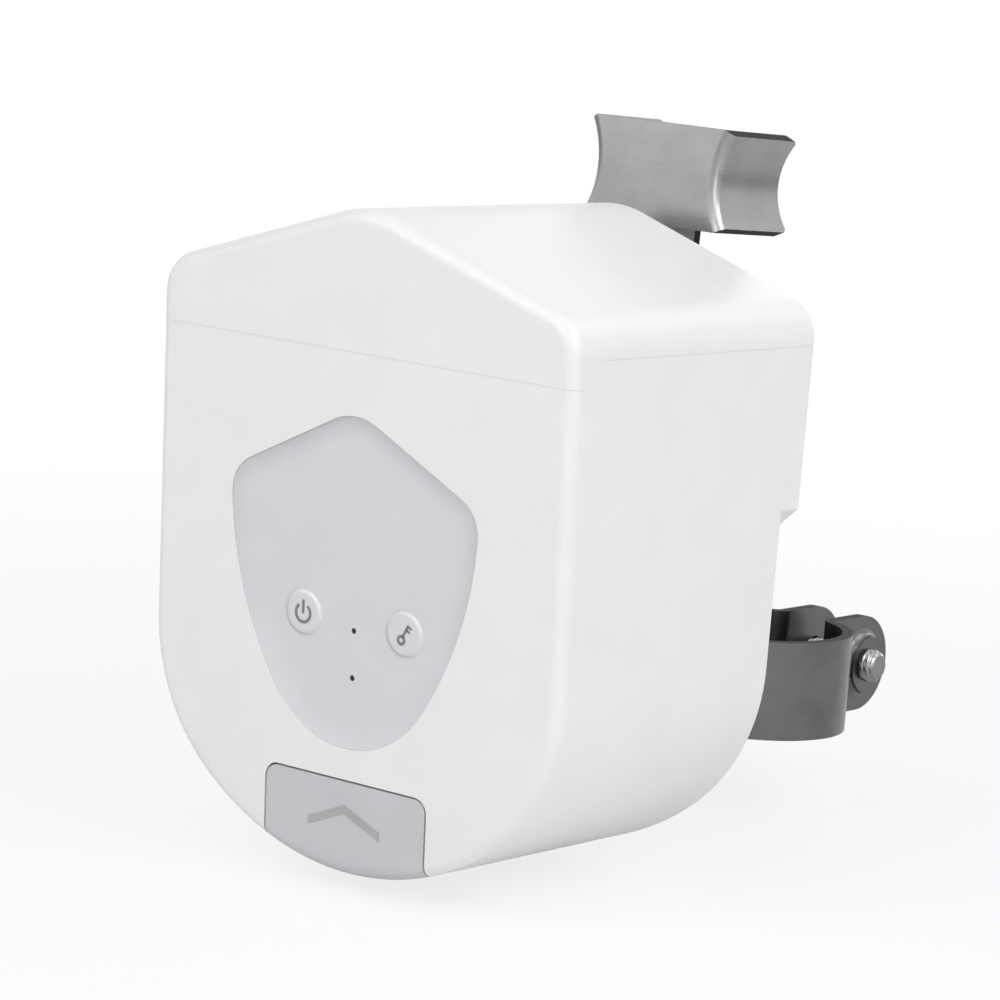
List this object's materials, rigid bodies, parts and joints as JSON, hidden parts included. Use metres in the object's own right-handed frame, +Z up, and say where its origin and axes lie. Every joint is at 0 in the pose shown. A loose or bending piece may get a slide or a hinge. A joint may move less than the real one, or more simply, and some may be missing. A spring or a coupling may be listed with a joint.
{
  "type": "valve controller",
  "caption": "Motor unit with a pipe clamp that turns the lever of a ball valve, with a shield-shaped housing, push buttons and a release latch.",
  "frame": {"origin": "on the axis of the clamped pipe, at mid height of the clamp band", "axes": "+X to the right for someone facing the control panel, +Y away from that person, +Z up along the pipe"},
  "size_m": [0.085, 0.1568, 0.1223],
  "materials": {
    "white_plastic": "fine matt moulded",
    "grey_plastic": "fine matt moulded",
    "panel_plastic": "satin moulded",
    "black_plastic": "moulded",
    "sheet_steel": "zinc plated sheet",
    "bolt_steel": "zinc plated",
    "motor_steel": "drawn can",
    "brass": "machined",
    "gear_nylon": "moulded nylon",
    "board": "solder mask",
    "seal_rubber": "moulded",
    "clear_plastic": "clear moulded"
  },
  "bodies": {
    "housing": {"board_screws": "bolt_steel", "button_switches": "black_plastic", "buzzer": "black_plastic", "circuit_board": "board", "clamp_band": "sheet_steel", "clamp_washer": "bolt_steel", "control_panel": "panel_plastic", "coupling_plate": "black_plastic", "coupling_screws": "bolt_steel", "cover_screws": "bolt_steel", "drive_motor": "motor_steel", "gear_pins": "bolt_steel", "gearbox_front_plate": "black_plastic", "gearbox_rear_plate": "black_plastic", "gearbox_screws": "bolt_steel", "light_pipe": "clear_plastic", "main_shell": "white_plastic", "mount_arm": "sheet_steel", "position_switches": "black_plastic", "power_inlet": "black_plastic", "radio_module": "motor_steel", "rear_cover": "white_plastic", "release_pin": "bolt_steel", "release_spring": "bolt_steel", "shaft_bushes": "brass", "shaft_seal": "seal_rubber", "status_light": "clear_plastic", "top_cap": "white_plastic"},
    "wrench": {"output_gear": "gear_nylon", "output_shaft": "bolt_steel", "switch_cam": "gear_nylon", "wrench_arm": "sheet_steel", "wrench_grip": "sheet_steel", "wrench_washer": "bolt_steel", "wrench_nut": "bolt_steel"},
    "second_gear": {"second_gear": "gear_nylon"},
    "first_gear": {"first_gear": "gear_nylon"},
    "motor_rotor": {"motor_pinion": "brass", "motor_shaft": "bolt_steel"},
    "control_button": {"control_button": "grey_plastic"},
    "reset_button": {"reset_button": "grey_plastic"},
    "release_rocker": {"release_button": "grey_plastic"},
    "clamp_bolt": {"clamp_bolt": "bolt_steel"}
  },
  "joints": [
    {"name": "wrench_turn", "type": "hinge", "parent": "housing", "child": "wrench", "pos_m": [0, -0.05, 0.05], "axis": [0, 1, 0], "range_deg": [0, 90]},
    {"name": "second_gear_turn", "type": "hinge", "parent": "housing", "child": "second_gear", "pos_m": [-0.02255, -0.074, 0.05821], "axis": [0, 1, 0], "range_deg": [-360, 0]},
    {"name": "first_gear_turn", "type": "hinge", "parent": "housing", "child": "first_gear", "pos_m": [-0.0111, -0.074, 0.06966], "axis": [0, 1, 0], "range_deg": [0, 1260]},
    {"name": "motor_turn", "type": "hinge", "parent": "housing", "child": "motor_rotor", "pos_m": [0.00098, -0.074, 0.06643], "axis": [0, 1, 0], "range_deg": [-5040, 0]},
    {"name": "control_press", "type": "slide", "parent": "housing", "child": "control_button", "axis": [0, 0.9977, 0.068], "range_m": [0, 0.0004], "stiffness_N_per_m": 1500, "springref_m": -0.0004},
    {"name": "reset_press", "type": "slide", "parent": "housing", "child": "reset_button", "axis": [0, 0.9977, 0.068], "range_m": [0, 0.0004], "stiffness_N_per_m": 1500, "springref_m": -0.0004},
    {"name": "release_press", "type": "hinge", "parent": "housing", "child": "release_rocker", "pos_m": [0, -0.10928, -0.004], "axis": [1, 0, 0], "range_deg": [0, 7], "stiffness_Nm_per_rad": 0.2, "springref_deg": -2.86, "deforming": ["release_spring"]},
    {"name": "clamp_bolt_turn", "type": "hinge", "parent": "housing", "child": "clamp_bolt", "pos_m": [0, 0.027, 0], "axis": [1, 0, 0], "continuous": true}
  ],
  "couplings": [
    {"joint": "second_gear_turn", "follows": "wrench_turn", "ratio": -4},
    {"joint": "first_gear_turn", "follows": "wrench_turn", "ratio": 14},
    {"joint": "motor_turn", "follows": "wrench_turn", "ratio": -56}
  ]
}
